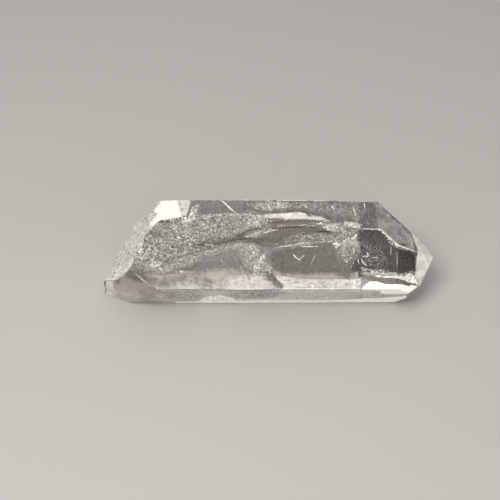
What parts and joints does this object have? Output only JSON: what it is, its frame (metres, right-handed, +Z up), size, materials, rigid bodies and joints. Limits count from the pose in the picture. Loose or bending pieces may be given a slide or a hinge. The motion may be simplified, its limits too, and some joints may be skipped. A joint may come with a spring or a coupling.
{
  "type": "quartz point",
  "caption": "Clear hexagonal quartz crystal lying on a prism face, with a faceted point, a rough broken base and a shell-like break along an upper edge.",
  "frame": {"origin": "middle of the crystal's footprint, on the surface that it lies on", "axes": "+X along the crystal towards its point, +Z up, and the wide upper front face with the broken edge above it looks along -Y"},
  "size_m": [0.0886, 0.0278, 0.0246],
  "materials": {
    "quartz": "clear, glossy crystal faces with fine white inclusions and veils, and frosted, granular broken surfaces"
  },
  "bodies": {
    "root": {"quartz_point": "quartz"}
  },
  "joints": []
}
